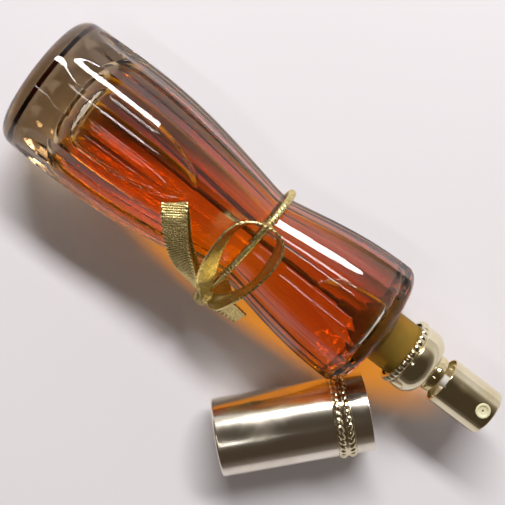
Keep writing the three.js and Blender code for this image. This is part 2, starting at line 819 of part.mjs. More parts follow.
function layFlask() {
  const flask = new THREE.Group();
  flask.add(
    piece("bottle_glass", flaskGlass(), clearGlass),
    piece("perfume_fill", perfume(), amberPerfume),
    piece("dip_tube", tubeAlong(dipTubeRoute(), tubeSteps, tubeRadius, tubeBore), clearPlastic),
    piece("neck_gasket", neckGasket(), rubber),
    piece("pump_housing", pumpHousing(), whitePlastic),
    piece("inlet_ball", inletBall(), spring),
    piece("return_spring", returnSpring(), spring),
    piece("piston", piston(), clearPlastic),
    piece("preload_spring", preloadSpring(), spring),
    piece("stem", stem(), whitePlastic),
    piece("stem_seal", stemSeal(), rubber),
    piece("turret", turret(), deepGold),
    piece("crimp_ferrule", crimpFerrule(), aluminium),
    piece("pump_collar", pumpCollar(), paleGold),
    piece("actuator_core", actuatorCore(), whitePlastic),
    piece("actuator_shell", actuatorShell(), paleGold),
    piece("nozzle_insert", nozzleInsert(), creamPlastic),
    piece("ribbon_band", ribbonBand(), goldRibbon),
    piece("ribbon_knot", ribbonKnot(), goldRibbon),
    piece("ribbon_flat_loop", ribbonFlatLoop(), goldRibbon),
    piece("ribbon_round_loop", ribbonRoundLoop(), goldRibbon),
    piece("ribbon_long_tail", ribbonLongTail(), goldRibbon),
    piece("ribbon_short_tail", ribbonShortTail(), goldRibbon),
  );
  flask.rotation.y = flaskTilt;
  flask.position.z = axisHeight;
  return flask;
}

function layCap() {
  const turn = THREE.MathUtils.degToRad(capTurn);
  const along = new THREE.Vector2(Math.cos(turn), Math.sin(turn));
  const aside = new THREE.Vector2(-Math.sin(turn), Math.cos(turn));
  const closedEnd = new THREE.Vector2(shoulderAt + shoulderRound - 1, -shoulderRadius);
  closedEnd.addScaledVector(aside, -ropeRadius - capStandOff);
  closedEnd.addScaledVector(along, -capBehind - capLength / 2);
  const cap = new THREE.Group();
  cap.add(
    piece("cap_shell", capShell(), champagne),
    piece("cap_liner", capLiner(), whitePlastic),
    piece("cap_rope_collar", ropeCollar(), paleGold),
  );
  cap.rotation.set(0, -capTilt, turn, "ZYX");
  cap.position.set(closedEnd.x, closedEnd.y, capAxisHeight);
  return cap;
}

// The row's origin is under the middle of the whole object, on the table.
const atomiser = new THREE.Group();
atomiser.add(layFlask(), layCap());
const extent = new THREE.Box3().setFromObject(atomiser, true);
const middle = extent.getCenter(new THREE.Vector3());
atomiser.position.set(-middle.x, -middle.y, -extent.min.z);
atomiser.updateMatrixWorld(true);

export default atomiser;
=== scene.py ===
import json
import math
import bmesh
import bpy
import numpy as np
from mathutils import Matrix, Vector


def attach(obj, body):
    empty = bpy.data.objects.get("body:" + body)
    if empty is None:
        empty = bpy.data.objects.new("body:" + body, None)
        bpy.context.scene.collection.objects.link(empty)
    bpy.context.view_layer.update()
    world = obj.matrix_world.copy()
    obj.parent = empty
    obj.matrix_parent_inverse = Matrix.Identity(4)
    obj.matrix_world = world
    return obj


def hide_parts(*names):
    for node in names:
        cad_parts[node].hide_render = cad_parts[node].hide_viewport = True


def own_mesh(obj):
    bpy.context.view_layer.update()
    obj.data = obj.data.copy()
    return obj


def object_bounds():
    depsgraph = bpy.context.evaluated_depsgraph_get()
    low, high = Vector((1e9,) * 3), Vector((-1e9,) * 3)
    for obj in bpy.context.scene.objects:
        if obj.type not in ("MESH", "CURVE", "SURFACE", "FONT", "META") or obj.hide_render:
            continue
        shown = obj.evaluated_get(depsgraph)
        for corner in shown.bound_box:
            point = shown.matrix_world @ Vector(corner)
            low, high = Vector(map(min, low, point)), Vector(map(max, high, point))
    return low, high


# The looks of a perfume atomiser: a fluted glass flask of amber perfume lying on a pale table,
# a ribbon tied in a bow round its waist, its spray pump, and its metal cap beside it.
# Pieces are drawn in millimetres; the camera, lamps and table are placed in metres. The flask and the
# cap are each drawn about their own X axis, and then put where the frame's mounts say. Turns round the
# flask are in degrees, from its top towards the cap.

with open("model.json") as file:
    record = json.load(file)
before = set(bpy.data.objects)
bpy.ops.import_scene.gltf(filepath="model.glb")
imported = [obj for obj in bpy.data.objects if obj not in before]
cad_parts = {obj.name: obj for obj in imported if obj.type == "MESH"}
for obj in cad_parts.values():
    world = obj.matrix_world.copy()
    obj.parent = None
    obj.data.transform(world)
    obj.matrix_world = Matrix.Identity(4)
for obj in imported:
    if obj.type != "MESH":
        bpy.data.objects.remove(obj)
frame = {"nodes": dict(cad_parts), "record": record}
cad_low, cad_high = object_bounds()

MM = 0.001

# ---------------------------------------------------------------- camera and light

CAMERA_AT = Vector((-0.0182, 0.0229, 0.2872))
CAMERA_AIM = Vector((-0.0024, 0.0146, 0.018))
CAMERA_UP = Vector((-0.6033, 0.7953, -0.0598))
CAMERA_LENS = 76.4

LAMP_COLOUR = (1.0, 0.985, 0.985)
LAMP_DISTANCE = 1.1
WINDOW_DIRECTION = Vector((-0.4, 0.78, 1.0))  # from the object towards the lamp
WINDOW_SIZE = (0.8, 0.16)
WINDOW_POWER = 14.0
STRIP_DIRECTION = Vector((-0.25, -0.3, 1.0))
STRIP_SIZE = (0.8, 0.035)
STRIP_POWER = 0.8

FLOOR_SIZE = 3.0
FLOOR_COLOUR = (0.80, 0.775, 0.80)
FLOOR_DRIFT = 0.96  # how much darker the table's faint blotches are
FLOOR_ROUGHNESS = 0.6
DARKEST_WAY = Vector((0.05, -0.45, 0.9)).normalized()
# How near a way is to the darkest one, from 0 for the opposite way to 1, and the room's colour there.
ROOM_SHADES = [
    (0.3, (0.6, 0.58, 0.6)),
    (0.52, (0.72, 0.7, 0.72)),
    (0.63, (0.22, 0.19, 0.17)),
    (0.86, (0.06, 0.045, 0.03)),
]
# The table's painted glow: an amber tint and an emission painted under the flask, standing in for the light
# that the perfume lets through.
PAINTED_AMBER_GLOW = (0.95, 0.36, 0.04)  # colour of the painted glow, painted on the table where the perfume's light would fall
PAINTED_GLOW_STRENGTH = 0.5
PAINTED_GLOW_AT = (0.004, 0.0105, 0.0)
PAINTED_GLOW_REACH = (0.066, 0.017, 1.0)
PAINTED_GLOW_EDGE = 0.4  # share of its reach over which the painted glow fades

# ---------------------------------------------------------------- flask

FLASK_LENGTH = 105.5
HEEL_RADIUS = 17.9
HEEL_ROUND = 4
BELLY_RADIUS = 18.8
BELLY_AT = 22
WAIST_RADIUS = 13.1
WAIST_AT = 66
WAIST_SOFTNESS = 0.05
SHOULDER_RADIUS = 17.8
SHOULDER_AT = FLASK_LENGTH - 5
SHOULDER_ROUND = 3.4
SHOULDER_RISE = 0.8
FLUTE_COUNT = 16
FLUTE_DEPTH = 0.8
FLUTE_DEPTH_AT_SHOULDER = 0.4
FLUTE_START = 6
FLUTE_ARCH = 7.5  # length of a flute's rounded end
FLUTE_EDGE = 1.03  # how softly a flute's hollow meets its ridges
GLASS_WALL = 2.5
RIDGE_WALL = GLASS_WALL + 0.75  # from a ridge to the smooth inside
BASE_THICKNESS = 14
FLOOR_DOME = 3.5  # how far the rounded floor dips below the flat one
FLOOR_ROUND = 9
NECK_RADIUS = 7.1
NECK_LENGTH = 11.7
NECK_BORE = 4.9
BEAD_PROUD = 0.3
BEAD_LENGTH = 2.2
GROOVE_DEPTH = 0.6
GROOVE_LENGTH = 1.2
LIP_AT = FLASK_LENGTH + NECK_LENGTH

FILL_HEIGHT = 12.3
FILL_OVERLAP = 0.12  # the liquid's skin lies this far inside the glass, so that no air shows between them
MENISCUS_HEIGHT = 1.2
MENISCUS_REACH = 0.7
FILL_TO_LIP = 0.3  # from the liquid's end in the neck to the lip

# ---------------------------------------------------------------- pump

TUBE_RADIUS = 0.95
TUBE_BORE = 0.6
SPIGOT_RADIUS = 1.9
SPIGOT_LENGTH = 5.5
INLET_RADIUS = 0.7
BARREL_CONE = 2.2  # length of the taper at the barrel's foot
BARREL_BORE = 3.3
SPRING_RADIUS = 2.3
SPRING_WIRE = 0.28
MAIN_SPRING_TURNS = 6
LIGHT_SPRING_TURNS = 2
TURRET_BORE = 1.8
TURRET_FLANGE = 0.7
TURRET_FLANGE_PROUD = 0.8
COLLAR_WALL = 0.8
COLLAR_OVER_FLANGE = 0.7  # how far the collar's top covers the turret's flange
KNURL_BEADS = 30
KNURL_LENGTH = 1.8
KNURL_DEPTH = 0.45
KNURL_PROUD = 0.35
BEAD_FULLNESS = 0.95
PRESSED_GAP = 0.2  # left between the collar and the actuator's foot when it is pressed
ACTUATOR_WALL = 0.4
ACTUATOR_ROUND = 0.7
NOZZLE_FROM_END = 3.2
NOZZLE_RADIUS = 1.95
NOZZLE_DISH_RADIUS = 1.35
NOZZLE_LENGTH = 2.4
NOZZLE_PROUD = 0.1
NOZZLE_SLIP = 0.1
NOZZLE_CUT_HEIGHT = 7  # above the flask's axis, and clear of the sleeve
ORIFICE_RADIUS = 0.25

# ---------------------------------------------------------------- cap

CAP_WALL = 0.35
CAP_TOP_THICKNESS = 0.8
CAP_ROUND = 0.8
LINER_WALL = 0.4
ROPE_LOBES = 34
ROPE_WIDTH = 4.6
ROPE_FROM_MOUTH = 4.8
ROPE_PRESSED = 0.16  # how far the two ropes are pressed into each other
ROPE_BAND = 0.25

# ---------------------------------------------------------------- ribbon

RIBBON_WIDTH = 6.4
RIBBON_THICKNESS = 0.5
RIB_PITCH = 0.58
RIB_DEPTH = 0.1
EDGE_TWIST = 0.1  # how much the ribbon's twisted edges swell and thin
BAND_RADIUS = 0.9
BAND_TWIST = 0.09
SOFT_GAP = 0.4
KNOT_TURN = 101
KNOT_LIFT = 7
KNOT_SIZE = (2.6, 2.3, 3.1)
KNOT_BACK = 1.1
KNOT_RISE = 1.3  # the folds stand a little above the knot's middle
KNOT_FULLNESS = 1.1
KNOT_WRAP_LEANS = (-0.5, 0.55)
WRAP_HALF_WIDTH = 1.25
WRAP_HALF_THICKNESS = 0.12
WRAP_FIT = 0.93  # the wraps lie this far out in the knot
WRAP_CREASE = 0.12
WRAP_CRIMP = 0.05
BAND_SLANT = 1


# ---------------------------------------------------------------- places

def lying_frame(mount_name):
    """A frame that starts at a mount, runs away from the face it is on, and has its Z nearest to up."""
    mount = next(m for m in frame["record"]["mounts"] if m["name"] == mount_name)
    along = -Vector(mount["axis"]).normalized()
    aside = Vector((0, 0, 1)).cross(along).normalized()
    turn = Matrix((along, aside, along.cross(aside))).transposed()
    return Matrix.Translation(mount["pos_m"]) @ turn.to_4x4() @ Matrix.Scale(MM, 4)


FLASK = lying_frame("base")
CAP = lying_frame("cap_top")


def reach(node, place):
    """How far a node runs along a lying frame's X axis, and its widest radius about it."""
    corners = np.array([vertex.co for vertex in frame["nodes"][node].data.vertices])
    back = np.array(place.inverted())
    local = corners @ back[:3, :3].T + back[:3, 3]
    return local[:, 0].min(), local[:, 0].max(), np.hypot(local[:, 1], local[:, 2]).max()


# ---------------------------------------------------------------- mesh helpers

def place_mesh(name, points, faces, place, material, crisp=35):
    """Makes a piece from points drawn in a lying frame, with its doubled corners merged."""
    matrix = np.array(place)
    placed = np.asarray(points).reshape(-1, 3) @ matrix[:3, :3].T + matrix[:3, 3]
    mesh = bpy.data.meshes.new(name)
    mesh.from_pydata(placed.tolist(), [], faces)
    work = bmesh.new()
    work.from_mesh(mesh)
    bmesh.ops.remove_doubles(work, verts=work.verts, dist=1e-7)
    bmesh.ops.recalc_face_normals(work, faces=work.faces)
    work.to_mesh(mesh)
    work.free()
    mesh.shade_smooth()
    mesh.set_sharp_from_angle(angle=math.radians(crisp))
    mesh.materials.append(material)
    piece = bpy.data.objects.new(name, mesh)
    bpy.context.scene.collection.objects.link(piece)
    return piece


def skin(rows, closed=False):
    """Points and faces of a skin over rows of points; each row is a ring."""
    rows = np.asarray(rows, float)
    count, width = rows.shape[:2]
    faces = []
    for i in range(count if closed else count - 1):
        here, there = i * width, ((i + 1) % count) * width
        for j in range(width):
            k = (j + 1) % width
            faces.append((here + j, here + k, there + k, there + j))
    return rows.reshape(-1, 3), faces


def joined(*skins):
    """Several skins as one list of points and faces."""
    points, faces = [], []
    for more_points, more_faces in skins:
        start = sum(len(part) for part in points)
        points.append(np.asarray(more_points))
        faces.extend(tuple(start + corner for corner in face) for face in more_faces)
    return np.concatenate(points), faces


def turned_rows(outline, segments=96, reshape=None):
    """Turns an outline of (along, radius) points about the X axis; reshape may change each radius."""
    along, radius = (column[:, None] for column in np.array(outline, float).T)
    angle = np.linspace(0, 2 * np.pi, segments, endpoint=False)[None, :]
    radii = radius + np.zeros_like(angle)
    if reshape:
        radii = reshape(along, angle, radii)
    return np.stack([along + 0 * radii, -radii * np.sin(angle), radii * np.cos(angle)], -1)


def rounded(corners, closed=False, steps=6):
    """An outline through (along, radius, round) corners, each rounded by up to its own size."""
    points = []
    count = len(corners)
    for i, corner in enumerate(corners):
        here = np.array(corner[:2], float)
        size = corner[2] if len(corner) > 2 else 0
        if size == 0 or (not closed and i in (0, count - 1)):
            points.append(here)
            continue
        before = np.array(corners[i - 1][:2], float) - here
        after = np.array(corners[(i + 1) % count][:2], float) - here
        start = here + before * min(size / np.linalg.norm(before), 0.48)
        end = here + after * min(size / np.linalg.norm(after), 0.48)
        for share in np.linspace(0, 1, steps + 1):
            points.append((1 - share) ** 2 * start + 2 * share * (1 - share) * here + share**2 * end)
    return points


def turned_ring(name, corners, material, segments=96):
    """A ring turned about the flask's axis, with rounded edges."""
    rows = turned_rows(rounded(corners, closed=True), segments)
    return place_mesh(name, *skin(rows, True), FLASK, material)


def smooth_path(stations, spacing):
    """Evenly spaced points of one smooth curve through stations; columns past the third follow along."""
    stations = np.array(stations, float)
    steps = np.linalg.norm(np.diff(stations[:, :3], axis=0), axis=1)
    knots = np.concatenate([[0], np.cumsum(np.sqrt(steps))])
    slopes = np.gradient(stations, knots, axis=0)
    fine = []
    for i, gap in enumerate(np.diff(knots)):
        share = np.linspace(0, 1, 24, endpoint=False)[:, None]
        fine.append(
            (1 + 2 * share) * (1 - share) ** 2 * stations[i]
            + share * (1 - share) ** 2 * gap * slopes[i]
            + share**2 * (3 - 2 * share) * stations[i + 1]
            + share**2 * (share - 1) * gap * slopes[i + 1]
        )
    fine = np.concatenate([*fine, stations[-1:]])
    travelled = np.concatenate([[0], np.cumsum(np.linalg.norm(np.diff(fine[:, :3], axis=0), axis=1))])
    wanted = np.linspace(0, travelled[-1], max(2, round(travelled[-1] / spacing)) + 1)
    return np.column_stack([np.interp(wanted, travelled, column) for column in fine.T]), wanted


def unit(vectors):
    """The same directions, each one long."""
    return vectors / np.linalg.norm(vectors, axis=-1, keepdims=True)


def swept(centres, across, section):
    """Rows of a strip or cord: a section of (across, facing) points carried along a line of centres."""
    along = unit(np.gradient(centres, axis=0))
    across = unit(across - (across * along).sum(1, keepdims=True) * along)
    facing = np.cross(along, across)
    rows = centres[:, None] + across[:, None] * section[..., :1] + facing[:, None] * section[..., 1:]
    return capped(rows)


def capped(rows):
    """Closes a run of rings with a point at each end."""
    first = np.broadcast_to(rows[0].mean(0), rows[0].shape)
    last = np.broadcast_to(rows[-1].mean(0), rows[-1].shape)
    return np.concatenate([first[None], rows, last[None]])


# ---------------------------------------------------------------- material helpers

def new_material(name):
    """A material with its nodes cleared down to one Principled shader and the output."""
    material = bpy.data.materials.new(name)
    material.use_nodes = True
    nodes = material.node_tree.nodes
    nodes.clear()
    shader = nodes.new("ShaderNodeBsdfPrincipled")
    output = nodes.new("ShaderNodeOutputMaterial")
    material.node_tree.links.new(shader.outputs[0], output.inputs["Surface"])
    return material, shader, output


def group_node(material, group, **values):
    """Places a node group in a material with its own values."""
    node = material.node_tree.nodes.new("ShaderNodeGroup")
    node.node_tree = group
    for name, value in values.items():
        node.inputs[name].default_value = value
    return node


def new_group(name, inputs, outputs):
    """An empty node group with its sockets; inputs are (name, socket type, default value)."""
    group = bpy.data.node_groups.new(name, "ShaderNodeTree")
    for label, kind, value in inputs:
        socket = group.interface.new_socket(label, in_out="INPUT", socket_type=kind)
        socket.default_value = value
    for label, kind in outputs:
        group.interface.new_socket(label, in_out="OUTPUT", socket_type=kind)
    entry = group.nodes.new("NodeGroupInput")
    result = group.nodes.new("NodeGroupOutput")
    return group, entry, result


def noise(tree, coordinates, scale, detail=3.0):
    """Smooth noise; its scale is a number or another node's output."""
    node = tree.nodes.new("ShaderNodeTexNoise")
    node.inputs["Detail"].default_value = detail
    tree.links.new(coordinates, node.inputs["Vector"])
    if isinstance(scale, float):
        node.inputs["Scale"].default_value = scale
    else:
        tree.links.new(scale, node.inputs["Scale"])
    return node.outputs["Fac"]


def ripple_group():
    """Slow waves in a surface, as a normal."""
    group, entry, result = new_group(
        "surface_ripple",
        [("Scale", "NodeSocketFloat", 60.0), ("Depth", "NodeSocketFloat", 0.1)],
        [("Normal", "NodeSocketVector")],
    )
    place = group.nodes.new("ShaderNodeTexCoord").outputs["Object"]
    waves = noise(group, place, entry.outputs["Scale"])
    bump = group.nodes.new("ShaderNodeBump")
    bump.inputs["Distance"].default_value = 0.001
    group.links.new(entry.outputs["Depth"], bump.inputs["Strength"])
    group.links.new(waves, bump.inputs["Height"])
    group.links.new(bump.outputs["Normal"], result.inputs["Normal"])
    return group


def handled_group():
    """A handled surface: smudges that change its colour and roughness, and fine rubbed marks."""
    group, entry, result = new_group(
        "handled_surface",
        [
            ("Colour", "NodeSocketColor", (0.8, 0.8, 0.8, 1)),
            ("Dulled", "NodeSocketColor", (0.6, 0.6, 0.6, 1)),
            ("Smoothest", "NodeSocketFloat", 0.08),
            ("Roughest", "NodeSocketFloat", 0.25),
            ("Marks", "NodeSocketFloat", 0.05),
            ("Smudge Scale", "NodeSocketFloat", 130.0),
        ],
        [("Color", "NodeSocketColor"), ("Roughness", "NodeSocketFloat"), ("Normal", "NodeSocketVector")],
    )
    place = group.nodes.new("ShaderNodeTexCoord").outputs["Object"]
    smudge = noise(group, place, entry.outputs["Smudge Scale"], 5.0)
    spread = group.nodes.new("ShaderNodeMapRange")
    spread.inputs["From Min"].default_value = 0.42
    spread.inputs["From Max"].default_value = 0.68
    group.links.new(smudge, spread.inputs["Value"])
    colours = group.nodes.new("ShaderNodeMix")
    colours.data_type = "RGBA"
    group.links.new(spread.outputs["Result"], colours.inputs["Factor"])
    group.links.new(entry.outputs["Colour"], colours.inputs["A"])
    group.links.new(entry.outputs["Dulled"], colours.inputs["B"])
    rough = group.nodes.new("ShaderNodeMix")
    group.links.new(spread.outputs["Result"], rough.inputs["Factor"])
    group.links.new(entry.outputs["Smoothest"], rough.inputs["A"])
    group.links.new(entry.outputs["Roughest"], rough.inputs["B"])
    rubbed = noise(group, place, 2600.0, 2.0)
    bump = group.nodes.new("ShaderNodeBump")
    bump.inputs["Distance"].default_value = 0.0001
    group.links.new(entry.outputs["Marks"], bump.inputs["Strength"])
    group.links.new(rubbed, bump.inputs["Height"])
    group.links.new(colours.outputs["Result"], result.inputs["Color"])
    group.links.new(rough.outputs["Result"], result.inputs["Roughness"])
    group.links.new(bump.outputs["Normal"], result.inputs["Normal"])
    return group


RIPPLE = ripple_group()
HANDLED = handled_group()


# ---------------------------------------------------------------- materials

def see_through(name, ior, absorbed, density, ripple_scale, ripple_depth):
    """Clear glass or liquid: it refracts, and its depth takes colour out of the light."""
    material, shader, output = new_material(name)
    shader.inputs["Base Color"].default_value = (1, 1, 1, 1)
    shader.inputs["Roughness"].default_value = 0.0
    shader.inputs["IOR"].default_value = ior
    shader.inputs["Transmission Weight"].default_value = 1.0
    ripple = group_node(material, RIPPLE, Scale=ripple_scale, Depth=ripple_depth)
    volume = material.node_tree.nodes.new("ShaderNodeVolumeAbsorption")
    volume.inputs["Color"].default_value = (*absorbed, 1)
    volume.inputs["Density"].default_value = density
    links = material.node_tree.links
    links.new(ripple.outputs["Normal"], shader.inputs["Normal"])
    links.new(volume.outputs[0], output.inputs["Volume"])
    return material


def handled(name, colour, dulled, smoothest, roughest, marks, metallic=1.0, **shader_values):
    """Metal, plastic or rubber with the handled surface."""
    material, shader, _ = new_material(name)
    shader.inputs["Metallic"].default_value = metallic
    for socket, value in shader_values.items():
        shader.inputs[socket.replace("_", " ")].default_value = value
    group = group_node(
        material, HANDLED, Colour=(*colour, 1), Dulled=(*dulled, 1),
        Smoothest=smoothest, Roughest=roughest, Marks=marks,
    )
    links = material.node_tree.links
    links.new(group.outputs["Color"], shader.inputs["Base Color"])
    links.new(group.outputs["Roughness"], shader.inputs["Roughness"])
    links.new(group.outputs["Normal"], shader.inputs["Normal"])
    return material


def ribbon_material():
    """Metallic thread: pale and dark gold threads in a fine weave, with sparkling facets."""
    material, shader, _ = new_material("gold_ribbon")
    tree = material.node_tree
    place = tree.nodes.new("ShaderNodeTexCoord").outputs["Object"]
    threads = noise(tree, place, 3500.0, 2.0)
    colours = tree.nodes.new("ShaderNodeValToRGB")
    colours.color_ramp.elements[0].position = 0.35
    colours.color_ramp.elements[0].color = (0.50, 0.37, 0.10, 1)
    colours.color_ramp.elements[1].position = 0.65
    colours.color_ramp.elements[1].color = (0.92, 0.80, 0.40, 1)
    facets = tree.nodes.new("ShaderNodeTexVoronoi")
    facets.inputs["Scale"].default_value = 4200.0
    bump = tree.nodes.new("ShaderNodeBump")
    bump.inputs["Strength"].default_value = 0.2
    bump.inputs["Distance"].default_value = 0.0002
    tree.links.new(place, facets.inputs["Vector"])
    tree.links.new(threads, colours.inputs["Fac"])
    tree.links.new(facets.outputs["Distance"], bump.inputs["Height"])
    tree.links.new(colours.outputs["Color"], shader.inputs["Base Color"])
    tree.links.new(bump.outputs["Normal"], shader.inputs["Normal"])
    shader.inputs["Metallic"].default_value = 1.0
    shader.inputs["Roughness"].default_value = 0.24
    return material


# Each finish's colour, its colour where it is dulled, its least and most roughness, and its marks.
METALS = {
    "pale_gold": ((0.87, 0.79, 0.56), (0.72, 0.61, 0.36), 0.07, 0.2, 0.03),
    "deep_gold": ((0.83, 0.71, 0.42), (0.62, 0.48, 0.20), 0.1, 0.25, 0.03),
    "champagne_metal": ((0.90, 0.84, 0.73), (0.80, 0.73, 0.60), 0.14, 0.24, 0.03),
    "raw_aluminium": ((0.79, 0.79, 0.8), (0.6, 0.6, 0.6), 0.25, 0.4, 0.1),
    "spring_steel": ((0.72, 0.73, 0.74), (0.5, 0.5, 0.5), 0.15, 0.3, 0.05),
}
PLASTICS = {
    "white_plastic": ((0.9, 0.89, 0.85), (0.84, 0.82, 0.76), 0.3, 0.45, 0.1),
    "cream_plastic": ((0.78, 0.74, 0.5), (0.7, 0.64, 0.38), 0.25, 0.4, 0.1),
    "black_rubber": ((0.03, 0.03, 0.03), (0.05, 0.05, 0.05), 0.6, 0.8, 0.2),
}
TINTED_PLASTIC = ((0.55, 0.34, 0.06), (0.45, 0.28, 0.05), 0.3, 0.45, 0.1)

MATERIALS = {
    # clear_glass's amber-brown absorption is partly the glass's own faint tint and partly painted shade,
    # darkening the thick base the way the shadowed, amber-lit table seen through it would
    "clear_glass": see_through("clear_glass", 1.5, (0.66, 0.42, 0.0), 34.0, 55.0, 0.05),
    "amber_perfume": see_through("amber_perfume", 1.42, (0.95, 0.79, 0.0), 300.0, 40.0, 0.0),
    "translucent_plastic": handled(
        "translucent_plastic", *TINTED_PLASTIC, metallic=0.0, Transmission_Weight=0.6, IOR=1.08,
    ),
    "gold_ribbon": ribbon_material(),
}
for metal, finish in METALS.items():
    MATERIALS[metal] = handled(metal, *finish)
for plastic, finish in PLASTICS.items():
    MATERIALS[plastic] = handled(plastic, *finish, metallic=0.0)


def stands_for(piece, node, body):
    """Puts a fine piece in the place of its CAD node."""
    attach(piece, body)
    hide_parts(node)


# ---------------------------------------------------------------- glass and perfume

def side_radius(along):
    """Radius of the flask's ridges at a distance from the base, without its rounded ends."""
    if along < BELLY_AT:
        return BELLY_RADIUS - (BELLY_RADIUS - HEEL_RADIUS) * (1 - along / BELLY_AT) ** 2
    to_belly = along < WAIST_AT
    full, full_at = (BELLY_RADIUS, BELLY_AT) if to_belly else (SHOULDER_RADIUS, SHOULDER_AT)
    share = min((along - WAIST_AT) / (full_at - WAIST_AT), 1)
    eased = soften(share) / soften(1)
    return WAIST_RADIUS + (full - WAIST_RADIUS) * math.sin(eased * math.pi / 2)


def soften(share):
    """Rounds off the pinch of the waist."""
    return math.hypot(share, WAIST_SOFTNESS) - WAIST_SOFTNESS


def pressed_flutes(along, angle, radii):
    """Presses the flutes in: hollows with rounded ends between rounded ridges."""
    flute_turn = 2 * np.pi / FLUTE_COUNT
    across = np.abs((angle / flute_turn + 0.5) % 1 - 0.5) * 2
    from_heel = (along - FLUTE_START) / FLUTE_ARCH
    from_shoulder = (SHOULDER_AT + SHOULDER_ROUND - along) / SHOULDER_ROUND
    arch = np.clip(1 - np.minimum(from_heel, from_shoulder), 0, 1)
    hollow = np.clip(1 - across**2 - arch**2, 0, 1) ** FLUTE_EDGE
    to_shoulder = np.clip((along - WAIST_AT / 2) / (SHOULDER_AT - WAIST_AT / 2), 0, 1)
    depth = FLUTE_DEPTH + (FLUTE_DEPTH_AT_SHOULDER - FLUTE_DEPTH) * to_shoulder
    return radii - depth * radii / BELLY_RADIUS * hollow


def arc(start, end, bulge_out=True, steps=8):
    """A quarter round from one (along, radius) point to another."""
    turns = np.linspace(0, math.pi / 2, steps + 1)
    first = 1 - np.cos(turns) if bulge_out else np.sin(turns)
    second = np.sin(turns) if bulge_out else 1 - np.cos(turns)
    along = start[0] + (end[0] - start[0]) * first
    radius = start[1] + (end[1] - start[1]) * second
    return list(zip(along, radius))


def outer_outline():
    """The outside of the flask, from the middle of its base to the inner edge of its lip."""
    shoulder_end = FLASK_LENGTH - SHOULDER_RISE
    side_end = shoulder_end - SHOULDER_ROUND
    bead = NECK_RADIUS + BEAD_PROUD
    groove = NECK_RADIUS - GROOVE_DEPTH
    groove_at = LIP_AT - BEAD_LENGTH - GROOVE_LENGTH
    sides = [(along, side_radius(along)) for along in np.arange(HEEL_ROUND + 0.5, side_end, 0.6)]
    shoulder_start = (side_end, side_radius(side_end))
    shoulder_foot = (shoulder_end, side_radius(side_end) - SHOULDER_ROUND)
    shoulder = arc(shoulder_start, shoulder_foot, bulge_out=False)
    neck = rounded([
        shoulder_foot,
        (FLASK_LENGTH, NECK_RADIUS, 2.5),
        (groove_at, NECK_RADIUS, 0.5),
        (groove_at + 0.4, groove, 0.5),
        (groove_at + GROOVE_LENGTH, groove, 0.4),
        (LIP_AT - BEAD_LENGTH, bead, 0.8),
        (LIP_AT, bead, 0.8),
        (LIP_AT, NECK_BORE + 0.6),
    ])
    return [
        (0, 0),
        (0, HEEL_RADIUS - HEEL_ROUND - 1),
        *arc((0, HEEL_RADIUS - HEEL_ROUND), (HEEL_ROUND, side_radius(HEEL_ROUND)), steps=12),
        *sides, *shoulder, *neck[1:],
    ]


def cavity_outline(outset, neck_to):
    """The inside of the flask, from its floor to a height in the neck, made larger by an outset."""
    floor = BASE_THICKNESS - FLOOR_DOME - outset
    wall = RIDGE_WALL - outset
    side_start = floor + FLOOR_ROUND
    side_end = SHOULDER_AT - GLASS_WALL / 2
    top = FLASK_LENGTH - SHOULDER_RISE - GLASS_WALL + outset
    sides = [(along, side_radius(along) - wall) for along in np.arange(side_start + 0.6, side_end, 0.6)]
    end_radius = side_radius(side_end) - wall
    shoulder_foot = (top, end_radius - SHOULDER_ROUND)
    bore = NECK_BORE + outset
    return [
        (floor, 0),
        *arc((floor, 0.4), (side_start, side_radius(side_start) - wall), steps=40)[1:],
        *sides,
        *arc((side_end, end_radius), shoulder_foot, bulge_out=False),
        *rounded([shoulder_foot, (top, bore, 1.5), (neck_to, bore)])[1:],
    ]


def glass_flask():
    """The glass: fluted outside, smooth inside, and open at its lip."""
    segments = FLUTE_COUNT * 20
    outer = turned_rows(outer_outline(), segments, pressed_flutes)
    inner = turned_rows(cavity_outline(0, LIP_AT), segments)[::-1]
    piece = place_mesh("flask_glass", *skin(np.concatenate([outer, inner])), FLASK, MATERIALS["clear_glass"])
    stands_for(piece, "bottle_glass", "flask")


def level_surface(_, angle, radii):
    """Cuts the liquid off at its level surface, which curves up where it meets the glass."""
    upward = np.broadcast_to(np.cos(angle), radii.shape)
    surface = np.full_like(radii, np.inf)
    above = upward > 0.2
    slope = upward[above]
    wall = radii[above]
    found = FILL_HEIGHT / slope
    for _ in range(40):
        climb = MENISCUS_HEIGHT * np.exp(-np.maximum(wall - found, 0) / MENISCUS_REACH)
        found = np.minimum((FILL_HEIGHT + climb) / slope, wall)
    surface[above] = found
    return np.minimum(radii, surface)


def perfume_in_flask():
    """The perfume, which fills the flask and its neck below its level surface."""
    fill_end = LIP_AT - FILL_TO_LIP
    outline = cavity_outline(FILL_OVERLAP, fill_end)
    rows = turned_rows([*outline, (fill_end, 0)], 360, level_surface)
    piece = place_mesh("perfume", *skin(rows), FLASK, MATERIALS["amber_perfume"], crisp=60)
    stands_for(piece, "perfume_fill", "flask")


# ---------------------------------------------------------------- pump

def dip_tube():
    """The tube that runs from the pump and bends towards the low side of the flask's base."""
    foot, top, _ = reach("dip_tube", FLASK)
    stations = [
        (top, 0, 0), (top - 9, 0, 0), (WAIST_AT, 0.6, -0.6),
        ((WAIST_AT + foot) / 2, 2, -3.4), (foot + 0.3, 4.5, -8.6),
    ]
    path, _ = smooth_path(stations, 1.0)
    angle = np.linspace(0, 2 * np.pi, 20, endpoint=False)
    ring = np.stack([np.cos(angle), np.sin(angle)], -1)
    up = np.broadcast_to(np.array((0, 0, 1.0)), path.shape)
    outside, inside = (swept(path, up, ring * radius)[1:-1] for radius in (TUBE_RADIUS, TUBE_BORE))
    rows = np.concatenate([outside, inside[::-1]])
    piece = place_mesh("dip_tube_fine", *skin(rows, True), FLASK, MATERIALS["translucent_plastic"])
    stands_for(piece, "dip_tube", "flask")


